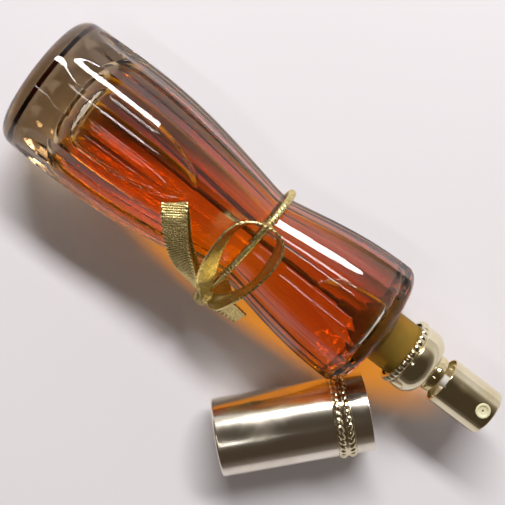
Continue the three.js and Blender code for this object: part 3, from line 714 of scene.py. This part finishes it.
def pump_housing():
    """The pump's barrel, which narrows to the spigot that holds the dip tube.

    Above its taper it is as wide as the housing's flange, so it reaches into the glass of the neck.
    """
    foot, top, radius = reach("pump_housing", FLASK)
    spigot_top = foot + SPIGOT_LENGTH
    cone = reach("return_spring", FLASK)[0] - BARREL_CONE
    piece = turned_ring("barrel", [
        (foot, INLET_RADIUS, 0.1), (foot, SPIGOT_RADIUS, 0.2),
        (spigot_top, SPIGOT_RADIUS, 0.3), (spigot_top, SPIGOT_RADIUS + 0.6, 0.2),
        (cone, radius - 0.6, 0.8), (cone + BARREL_CONE, radius, 0.6),
        (top, radius, 0.1), (top, BARREL_BORE, 0.1),
        (cone + BARREL_CONE + 0.4, BARREL_BORE, 0.4), (cone + BARREL_CONE + 0.4, 1.3, 0.2),
        (spigot_top, INLET_RADIUS, 0.3),
    ], MATERIALS["translucent_plastic"])
    stands_for(piece, "pump_housing", "flask")


def beaded_foot(foot, knurl):
    """Raises a ring of round beads on the collar's foot, out to the knurl's radius."""
    low = knurl - KNURL_DEPTH

    def reshape(along, angle, radii):
        across = np.abs((angle / (2 * np.pi / KNURL_BEADS)) % 1 - 0.5) * 2
        lengthwise = np.clip(np.abs(along - foot - KNURL_LENGTH / 2) / (KNURL_LENGTH / 2), 0, 1)
        dome = np.sqrt(np.clip(1 - across**2 * BEAD_FULLNESS, 0, 1)) * np.sqrt(1 - lengthwise**2)
        on_knurl = (lengthwise < 1) & (radii > low - 0.05)
        return np.where(on_knurl, low + KNURL_DEPTH * dome, radii)

    return reshape


def pump_collar():
    """The domed collar over the crimp, open at its top round the turret."""
    foot, top, knurl = reach("pump_collar", FLASK)
    top -= PRESSED_GAP
    side = knurl - KNURL_PROUD
    hole = reach("turret", FLASK)[2] - COLLAR_OVER_FLANGE
    low = knurl - KNURL_DEPTH
    beads = [(foot + share * KNURL_LENGTH, low) for share in np.linspace(0, 1, 13)]
    dome = rounded([
        (foot + KNURL_LENGTH + 0.05, low - 0.25, 0.1),
        (foot + KNURL_LENGTH + 0.5, side, 0.5),
        (top - 2.6, side + 0.1, 2.2),
        (top - 0.5, hole + 1.9, 1.4),
        (top, hole + 0.9, 0.5),
        (top, hole, 0.15),
        (top - 0.5, hole, 0.1),
        (top - 1.0, side - 2.4, 0.8),
        (top - 3.0, side - COLLAR_WALL, 0.8),
        (foot, side - COLLAR_WALL, 0.1),
    ], steps=8)
    rows = turned_rows([*beads, *dome], KNURL_BEADS * 12, beaded_foot(foot, knurl))
    piece = place_mesh("collar", *skin(rows, True), FLASK, MATERIALS["pale_gold"])
    stands_for(piece, "pump_collar", "flask")


def turret():
    """The stepped ring that the stem slides in."""
    foot, top, flange = reach("turret", FLASK)
    step = flange - TURRET_FLANGE_PROUD
    flange_top = foot + TURRET_FLANGE
    piece = turned_ring("turret_ring", [
        (foot, TURRET_BORE, 0.1), (foot, flange, 0.15), (flange_top, flange, 0.15), (flange_top, step, 0.1),
        (foot + 2.5, step, 0.35), (foot + 2.9, step - 0.6, 0.3), (foot + 3.7, step - 0.9, 0.3),
        (foot + 4.3, step - 0.55, 0.4), (top, step - 0.9, 0.5), (top, TURRET_BORE, 0.1),
    ], MATERIALS["deep_gold"])
    stands_for(piece, "turret", "flask")


def actuator():
    """The metal sleeve that is pressed."""
    foot, end, radius = reach("actuator_shell", FLASK)
    inner = radius - ACTUATOR_WALL
    top_inside = end - ACTUATOR_WALL
    shell = turned_ring("actuator_sleeve", [
        (foot, inner, 0.12), (foot, radius, 0.2), (end, radius, ACTUATOR_ROUND), (end, 0.4),
        (end, 0), (top_inside, 0), (top_inside, inner, 0.3),
    ], MATERIALS["pale_gold"], segments=128)
    drill_nozzle(shell, end - NOZZLE_FROM_END)
    stands_for(shell, "actuator_shell", "actuator")


def drill_nozzle(shell, at):
    """Cuts the nozzle's round hole through the sleeve's upper side."""
    hole = NOZZLE_RADIUS + NOZZLE_SLIP
    outline = [(0, 0), (0, hole), (NOZZLE_CUT_HEIGHT, hole), (NOZZLE_CUT_HEIGHT, 0)]
    cutter = place_mesh("nozzle_cutter", *skin(disc_rows(outline, at, 64)), FLASK, MATERIALS["pale_gold"])
    cut = shell.modifiers.new("nozzle_hole", "BOOLEAN")
    cut.operation = "DIFFERENCE"
    cut.solver = "EXACT"
    cut.object = cutter
    bpy.context.view_layer.objects.active = shell
    bpy.ops.object.modifier_apply(modifier=cut.name)
    bpy.data.objects.remove(cutter)
    shell.data.set_sharp_from_angle(angle=math.radians(35))


def disc_rows(outline, at, segments=48):
    """Turns an outline of (height, radius) points about an upright line through the flask's axis."""
    height, radius = (column[:, None] for column in np.array(outline, float).T)
    angle = np.linspace(0, 2 * np.pi, segments, endpoint=False)[None, :]
    return np.stack([at + radius * np.cos(angle), radius * np.sin(angle), height + 0 * angle], -1)


def nozzle():
    """The spray disc, with a shallow dish round its orifice."""
    _, end, radius = reach("actuator_shell", FLASK)
    top = radius + NOZZLE_PROUD
    outline = rounded([
        (top - NOZZLE_LENGTH, ORIFICE_RADIUS, 0), (top - NOZZLE_LENGTH, NOZZLE_RADIUS, 0.2),
        (top, NOZZLE_RADIUS, 0.25), (top, NOZZLE_DISH_RADIUS, 0.2),
        (top - 0.3, NOZZLE_DISH_RADIUS - 0.2, 0.2), (top - 0.35, ORIFICE_RADIUS, 0.1),
    ], closed=True)
    rows = disc_rows(outline, end - NOZZLE_FROM_END)
    piece = place_mesh("nozzle", *skin(rows, True), FLASK, MATERIALS["cream_plastic"])
    stands_for(piece, "nozzle_insert", "actuator")


def coil(name, node, body, turns):
    """A spring in the place of its CAD node."""
    start, end, _ = reach(node, FLASK)
    share = np.linspace(0, 1, turns * 30)
    angle = share * turns * 2 * np.pi
    path = np.column_stack([
        start + SPRING_WIRE + share * (end - start - 2 * SPRING_WIRE),
        SPRING_RADIUS * np.sin(angle),
        SPRING_RADIUS * np.cos(angle),
    ])
    ring_angle = np.linspace(0, 2 * np.pi, 10, endpoint=False)
    ring = np.stack([np.cos(ring_angle), np.sin(ring_angle)], -1) * SPRING_WIRE
    across = np.broadcast_to(np.array((1.0, 0, 0)), path.shape)
    piece = place_mesh(name, *skin(swept(path, across, ring)), FLASK, MATERIALS["spring_steel"])
    stands_for(piece, node, body)
    return piece


def springs():
    """The return spring, which is squashed when the pump is pressed, and the preload spring on the stem."""
    return_spring = coil("main_spring", "return_spring", "flask", MAIN_SPRING_TURNS)
    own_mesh(return_spring)
    coil("light_spring", "preload_spring", "pump_stem", LIGHT_SPRING_TURNS)


# ---------------------------------------------------------------- cap

def cap_shell():
    """The cap's metal sleeve, with its closed end at the start of its axis."""
    _, length, radius = reach("cap_shell", CAP)
    inner = radius - CAP_WALL
    rows = turned_rows(rounded([
        (0, 0), (0, radius - 2 * CAP_ROUND), (0, radius, CAP_ROUND), (length - 0.1, radius, 0.18),
        (length, inner + 0.15, 0.12), (length - 0.15, inner, 0.1),
        (CAP_TOP_THICKNESS, inner, 0.3), (CAP_TOP_THICKNESS, 0),
    ]), 128)
    piece = place_mesh("cap_sleeve", *skin(rows), CAP, MATERIALS["champagne_metal"])
    stands_for(piece, "cap_shell", "cap")


def cap_liner():
    """The plastic cup inside the cap."""
    floor, mouth, outer = reach("cap_liner", CAP)
    inner = outer - LINER_WALL
    rows = turned_rows(rounded([
        (floor, 0), (floor, outer, 0.3), (mouth, outer, 0.1),
        (mouth, inner, 0.1), (floor + LINER_WALL, inner, 0.4), (floor + LINER_WALL, 0),
    ]))
    piece = place_mesh("cap_lining", *skin(rows), CAP, MATERIALS["white_plastic"])
    stands_for(piece, "cap_liner", "cap")


def rope_collar():
    """Two ropes side by side on a thin band, twisted opposite ways, each of two beaded strands."""
    _, length, cap_radius = reach("cap_shell", CAP)
    inner = cap_radius + 0.1
    middle = length - ROPE_FROM_MOUTH - ROPE_WIDTH / 2
    skins = [rope_skin(middle, side, inner) for side in (-1, 1)]
    band = turned_rows(rounded([
        (middle - ROPE_WIDTH / 2, inner, 0.05), (middle - ROPE_WIDTH / 2, inner + ROPE_BAND, 0.1),
        (middle + ROPE_WIDTH / 2, inner + ROPE_BAND, 0.1), (middle + ROPE_WIDTH / 2, inner, 0.05),
    ], closed=True), 128)
    skins.append(skin(band, True))
    piece = place_mesh("rope_ring", *joined(*skins), CAP, MATERIALS["pale_gold"])
    stands_for(piece, "cap_rope_collar", "cap")


def rope_skin(middle, side, inner):
    """One of the two ropes, on the given side of the band's middle and flat against the cap."""
    rope = ROPE_WIDTH / 4 + ROPE_PRESSED
    ring_radius = reach("cap_rope_collar", CAP)[2] - rope
    around = np.linspace(0, 2 * np.pi, ROPE_LOBES * 10, endpoint=False)[:, None]
    section = np.linspace(0, 2 * np.pi, 40, endpoint=False)[None, :]
    lobes = np.abs(np.cos((ROPE_LOBES * around - side * 2 * section) / 2))
    beads = np.abs(np.sin(ROPE_LOBES * 2 * around))
    size = rope * (0.72 + 0.22 * np.sqrt(lobes) + 0.06 * beads * lobes)
    radial = np.maximum(ring_radius + size * np.sin(section), inner)
    along = middle + side * ROPE_WIDTH / 4 + size * np.cos(section)
    return skin(np.stack([along, -radial * np.sin(around), radial * np.cos(around)], -1), True)


# ---------------------------------------------------------------- ribbon

def over_glass(from_waist, turn_degrees, lift):
    """A point above the glass: distance from the waist, turn from the top towards the cap, and lift."""
    turn = math.radians(turn_degrees)
    radius = side_radius(WAIST_AT + from_waist) + lift
    return np.array((WAIST_AT + from_waist, -radius * math.sin(turn), radius * math.cos(turn)))


def station(from_waist, turn_degrees, lift, width_way, spread=1.0):
    """A station of a strip: its centre, then its width as (along the flask, around it, away from it)."""
    turn = math.radians(turn_degrees)
    axial, around, outward = width_way
    across = np.array((
        axial,
        -around * math.cos(turn) - outward * math.sin(turn),
        -around * math.sin(turn) + outward * math.cos(turn),
    ))
    across *= spread / np.linalg.norm(across)
    return np.concatenate([over_glass(from_waist, turn_degrees, lift), across])


def ribbon_section(travelled, spread):
    """The ribbon's section: a thin ribbed middle between two rounded, twisted edges."""
    half = RIBBON_WIDTH / 2 * spread[:, None]
    sides = np.array([-1, -0.98, -0.9, -0.8, -0.6, -0.3, 0, 0.3, 0.6, 0.8, 0.9, 0.98, 1])
    edge = np.abs(sides) > 0.85
    rib = np.cos(2 * np.pi * travelled[:, None] / RIB_PITCH)
    twist = np.cos(2 * np.pi * travelled[:, None] / RIB_PITCH * 0.5 + np.sign(sides)[None, :])
    edge_height = RIBBON_THICKNESS / 2 + EDGE_TWIST * twist
    height = np.where(edge, edge_height, RIBBON_THICKNESS * 0.32 + RIB_DEPTH * rib)
    height = height * np.where(np.abs(sides) == 1, 0.3, 1)
    top = np.stack([sides * half, height], -1)
    bottom = np.stack([sides * half, -height], -1)[:, ::-1]
    return np.concatenate([top, bottom], 1)


def ribbon_strip(stations):
    """A run of ribbon through its stations, narrowed where a station's spread is less than one."""
    path, travelled = smooth_path(stations, RIB_PITCH / 6)
    spread = np.linalg.norm(path[:, 3:], axis=1)
    return skin(swept(path[:, :3], path[:, 3:], ribbon_section(travelled, spread)))


def ribbon_piece(name, node, *skins):
    """A run of the ribbon in the place of its CAD node."""
    piece = place_mesh(name, *joined(*skins), FLASK, MATERIALS["gold_ribbon"], crisp=60)
    stands_for(piece, node, "flask")


def flat_loop():
    """The loop that lies flat on the glass, towards the base: out along it, and back over itself."""
    low = SOFT_GAP + RIBBON_THICKNESS / 2 + 0.7
    high = low + SOFT_GAP + 2 * RIBBON_THICKNESS
    across = (0.77, -0.64, 0)
    ribbon_piece("bow_flat_loop", "ribbon_flat_loop", ribbon_strip([
        station(-2, 95, KNOT_LIFT - 1.6, (0.6, -0.3, 0.5), 0.3),
        station(-5.6, 76, low + 1.2, (0.77, -0.5, 0.2), 0.85),
        station(-10, 58, low + 0.4, across),
        station(-14.5, 39, low + 0.3, across),
        station(-19, 20, low + 0.2, across),
        station(-20.6, 14, (low + high) / 2 + 0.4, across),
        station(-18.9, 21, high + 0.8, across),
        station(-14.2, 39, high + 1.2, across),
        station(-9.4, 57, high + 1.6, across),
        station(-5.2, 74, high + 2.4, (0.77, -0.5, 0.2), 0.85),
        station(-1.6, 93, KNOT_LIFT - 0.2, (0.6, -0.3, 0.5), 0.3),
    ]))


def round_loop():
    """The loop that stands on edge and arches over the waist."""
    clear = RIBBON_WIDTH / 2 + SOFT_GAP
    over_band = clear + 2 * BAND_RADIUS + SOFT_GAP
    on_edge = (0, 0, 1)
    ribbon_piece("bow_round_loop", "ribbon_round_loop", ribbon_strip([
        station(0, 96, KNOT_LIFT - 1, on_edge, 0.3),
        station(2.6, 74, clear + 1.8, on_edge, 0.8),
        station(5.4, 38, clear + 0.6, on_edge),
        station(6.2, 12, clear + 0.3, (0.25, 0, 1)),
        station(5.2, -7, clear + 0.8, (0.3, 0.2, 1)),
        station(2, -13, over_band, (0.2, 0.3, 1)),
        station(-2.6, -10, over_band, (-0.2, 0.3, 1)),
        station(-6, 2, clear + 1, (-0.3, 0.1, 1)),
        station(-6.2, 24, clear + 1, (-0.5, 0.2, 1), 0.8),
        station(-4, 54, clear + 1.4, (-0.8, 0, 1), 0.8),
        station(-0.9, 93, KNOT_LIFT - 0.6, (-0.4, 0, 1), 0.3),
    ]))


def tails():
    """The ribbon's two cut ends."""
    ribbon_piece("bow_long_tail", "ribbon_long_tail", ribbon_strip([
        station(2.2, 102, KNOT_LIFT - 0.2, (0, 0.3, 1), 0.5),
        station(5.6, 106, KNOT_LIFT - 1.2, (0, 0.6, 1)),
        station(10.4, 108, KNOT_LIFT - 2, (0, 0.6, 0.8)),
    ]))
    across = (0.9, 0, 0.4)
    ribbon_piece("bow_short_tail", "ribbon_short_tail", ribbon_strip([
        station(0.2, 110, KNOT_LIFT - 0.8, across, 0.4),
        station(1.8, 122, KNOT_LIFT - 1.4, across, 0.6),
        station(3.4, 131, KNOT_LIFT - 1.8, across, 0.6),
    ]))


def rolled_rows(stations, sides=16):
    """The rolled ribbon along a smooth curve, with the spiral ribs of its twist."""
    path, travelled = smooth_path(stations, RIB_PITCH / 5)
    angle = np.linspace(0, 2 * np.pi, sides, endpoint=False)
    ribs = 1 + BAND_TWIST * np.cos(2 * np.pi * travelled[:, None] / RIB_PITCH / 2 + angle[None, :])
    section = np.stack([np.cos(angle) * ribs, np.sin(angle) * ribs], -1) * BAND_RADIUS
    return swept(path, np.broadcast_to(np.array((1.0, 0, 0)), path.shape), section)


def band():
    """The ribbon rolled round the waist, from one side of the knot to the other."""
    lift = BAND_RADIUS + SOFT_GAP
    leave = math.degrees(math.acos((WAIST_RADIUS + lift) / (WAIST_RADIUS + KNOT_LIFT)))
    knot_reach = KNOT_LIFT - KNOT_SIZE[1] - BAND_RADIUS
    points = [over_glass(-KNOT_BACK, KNOT_TURN - 6, knot_reach)]
    for turn in np.linspace(KNOT_TURN - leave, KNOT_TURN - 360 + leave, 15):
        points.append(over_glass(-BAND_SLANT * math.sin(math.radians(turn)), turn, lift))
    points.append(over_glass(-KNOT_BACK, KNOT_TURN + 6, knot_reach))
    ribbon_piece("bow_band", "ribbon_band", skin(rolled_rows(points)))


def knot():
    """A crumpled core with the ribbon wrapped twice across it."""
    centre = over_glass(-KNOT_BACK, KNOT_TURN, KNOT_LIFT) + (0, 0.2, KNOT_RISE)
    size = np.array(KNOT_SIZE) * KNOT_FULLNESS
    polar = np.linspace(0, np.pi, 60)[:, None]
    around = np.linspace(0, 2 * np.pi, 90, endpoint=False)[None, :]
    folds = 0.86 + 0.08 * np.sin(5 * around + 3 * np.cos(3 * polar)) + 0.04 * np.sin(11 * around + 9 * polar)
    ball = np.stack([
        np.sin(polar) * np.cos(around) * folds, np.sin(polar) * np.sin(around) * folds,
        np.cos(polar) * folds + 0 * around,
    ], -1)
    core = skin(centre + ball * size)
    wraps = [knot_wrap(centre, size, lean) for lean in KNOT_WRAP_LEANS]
    ribbon_piece("bow_knot", "ribbon_knot", core, *wraps)


def knot_wrap(centre, size, lean):
    """One closed turn of folded ribbon round the knot."""
    turn = np.linspace(0, 2 * np.pi, 200, endpoint=False)
    round_way = np.column_stack([lean * 0.6 * np.sin(turn + 0.6), np.cos(turn), np.sin(turn)])
    path = centre + round_way * size * WRAP_FIT
    along = unit(np.roll(path, -1, 0) - np.roll(path, 1, 0))
    outward = unit(path - centre)
    across = unit(np.cross(outward, along))
    offsets = np.linspace(-1, 1, 15)
    crimps = WRAP_CRIMP * np.cos(2 * np.pi * turn[:, None] * 12)
    creases = WRAP_CREASE * np.cos(offsets * 3 * np.pi) + crimps
    flat = path[:, None] + across[:, None] * (offsets * WRAP_HALF_WIDTH)[None, :, None]
    face = flat + outward[:, None] * creases[..., None]
    thick = outward[:, None] * WRAP_HALF_THICKNESS
    rows = np.concatenate([face + thick, (face - thick)[:, ::-1]], 1)
    return skin(rows, True)


# ---------------------------------------------------------------- pieces that keep their CAD shape

def dress_cad_nodes():
    """Gives each CAD node that still shows the material of its slot."""
    slots = {part["node"]: part["material_slot"] for part in frame["record"]["subparts"]}
    for name, node in frame["nodes"].items():
        if node.hide_render:
            continue
        node.data.materials.clear()
        node.data.materials.append(MATERIALS[slots[name]])


# ---------------------------------------------------------------- table, light and camera

def table_colours(tree, place):
    """The table's pale colour, with faint blotches."""
    colours = tree.nodes.new("ShaderNodeValToRGB")
    colours.color_ramp.elements[0].position = 0.3
    colours.color_ramp.elements[0].color = (*(FLOOR_DRIFT * c for c in FLOOR_COLOUR), 1)
    colours.color_ramp.elements[1].position = 0.7
    colours.color_ramp.elements[1].color = (*FLOOR_COLOUR, 1)
    tree.links.new(noise(tree, place, 4.0, 2.0), colours.inputs["Fac"])
    return colours.outputs["Color"]


def painted_glow_share(tree, place):
    """How much of the painted amber glow falls at each place: all of it under the flask, fading outwards."""
    under_flask = tree.nodes.new("ShaderNodeMapping")
    under_flask.vector_type = "TEXTURE"
    under_flask.inputs["Location"].default_value = PAINTED_GLOW_AT
    under_flask.inputs["Scale"].default_value = PAINTED_GLOW_REACH
    fade = tree.nodes.new("ShaderNodeTexGradient")
    fade.gradient_type = "SPHERICAL"
    share = tree.nodes.new("ShaderNodeMapRange")
    share.interpolation_type = "SMOOTHSTEP"
    share.inputs["From Max"].default_value = PAINTED_GLOW_EDGE
    tree.links.new(place, under_flask.inputs["Vector"])
    tree.links.new(under_flask.outputs[0], fade.inputs["Vector"])
    tree.links.new(fade.outputs["Fac"], share.inputs["Value"])
    return share.outputs["Result"]


def painted_glow_mix(tree, share):
    """A colour mix that goes to the painted glow's amber colour as its share goes to one."""
    mix = tree.nodes.new("ShaderNodeMix")
    mix.data_type = "RGBA"
    mix.inputs["B"].default_value = (*PAINTED_AMBER_GLOW, 1)
    tree.links.new(share, mix.inputs["Factor"])
    return mix


def table_material():
    """A pale table, with a painted warm glow in its colour and as emission, where the light through the
    perfume would fall.
    """
    material, shader, _ = new_material("table_top")
    tree = material.node_tree
    place = tree.nodes.new("ShaderNodeTexCoord").outputs["Object"]
    share = painted_glow_share(tree, place)
    # the table's colour and its emission both take the painted amber glow
    colour = painted_glow_mix(tree, share)
    glow = painted_glow_mix(tree, share)
    glow.inputs["A"].default_value = (0, 0, 0, 1)
    tree.links.new(table_colours(tree, place), colour.inputs["A"])
    tree.links.new(colour.outputs["Result"], shader.inputs["Base Color"])
    tree.links.new(glow.outputs["Result"], shader.inputs["Emission Color"])
    shader.inputs["Emission Strength"].default_value = PAINTED_GLOW_STRENGTH
    shader.inputs["Roughness"].default_value = FLOOR_ROUGHNESS
    return material


def table():
    """The table under the object, which is only staged."""
    half = FLOOR_SIZE / 2
    corners = [(-half, -half, 0), (half, -half, 0), (half, half, 0), (-half, half, 0)]
    mesh = bpy.data.meshes.new("table_top")
    mesh.from_pydata(corners, [], [(0, 1, 2, 3)])
    mesh.materials.append(table_material())
    floor = bpy.data.objects.new("table_top", mesh)
    bpy.context.scene.collection.objects.link(floor)


def surroundings():
    """A pale room that is darker overhead."""
    world = bpy.data.worlds.new("room")
    bpy.context.scene.world = world
    world.use_nodes = True
    tree = world.node_tree
    tree.nodes.clear()
    way = tree.nodes.new("ShaderNodeTexCoord")
    toward_dark = tree.nodes.new("ShaderNodeVectorMath")
    toward_dark.operation = "DOT_PRODUCT"
    toward_dark.inputs[1].default_value = DARKEST_WAY
    share = tree.nodes.new("ShaderNodeMapRange")
    share.inputs["From Min"].default_value = -1.0
    shade = tree.nodes.new("ShaderNodeValToRGB")
    elements = shade.color_ramp.elements
    for _ in ROOM_SHADES[len(elements):]:
        elements.new(1.0)
    for element, (position, colour) in zip(elements, ROOM_SHADES):
        element.position = position
        element.color = (*colour, 1)
    light = tree.nodes.new("ShaderNodeBackground")
    output = tree.nodes.new("ShaderNodeOutputWorld")
    tree.links.new(way.outputs["Generated"], toward_dark.inputs[0])
    tree.links.new(toward_dark.outputs["Value"], share.inputs["Value"])
    tree.links.new(share.outputs["Result"], shade.inputs["Fac"])
    tree.links.new(shade.outputs["Color"], light.inputs["Color"])
    tree.links.new(light.outputs[0], output.inputs["Surface"])


def lamp(name, direction, size, power):
    """A lamp that faces the object from a direction, with its long side as near X as it can be."""
    middle = (cad_low + cad_high) / 2
    light = bpy.data.lights.new(name, "AREA")
    light.shape = "RECTANGLE"
    light.size, light.size_y = size
    light.energy = power
    light.color = LAMP_COLOUR
    back = direction.normalized()
    along = (Vector((1, 0, 0)) - back * back.x).normalized()
    holder = bpy.data.objects.new(name, light)
    holder.location = middle + back * LAMP_DISTANCE
    holder.rotation_euler = Matrix((along, back.cross(along), back)).transposed().to_euler()
    bpy.context.scene.collection.objects.link(holder)


def camera():
    """A camera above the flask that looks down on it, turned so that the flask lies slantwise."""
    back = (CAMERA_AT - CAMERA_AIM).normalized()
    right = CAMERA_UP.cross(back).normalized()
    turn = Matrix((right, back.cross(right), back)).transposed()
    view = bpy.data.objects.new("camera", bpy.data.cameras.new("camera"))
    view.matrix_world = Matrix.Translation(CAMERA_AT) @ turn.to_4x4()
    view.data.lens = CAMERA_LENS
    bpy.context.scene.collection.objects.link(view)
    bpy.context.scene.camera = view


# ---------------------------------------------------------------- everything in its place

camera()
table()
surroundings()
lamp("window", WINDOW_DIRECTION, WINDOW_SIZE, WINDOW_POWER)
lamp("strip", STRIP_DIRECTION, STRIP_SIZE, STRIP_POWER)
glass_flask()
perfume_in_flask()
dip_tube()
pump_housing()
pump_collar()
turret()
actuator()
nozzle()
springs()
cap_shell()
cap_liner()
rope_collar()
flat_loop()
round_loop()
tails()
band()
knot()
dress_cad_nodes()

bpy.context.scene.view_settings.view_transform = "Standard"
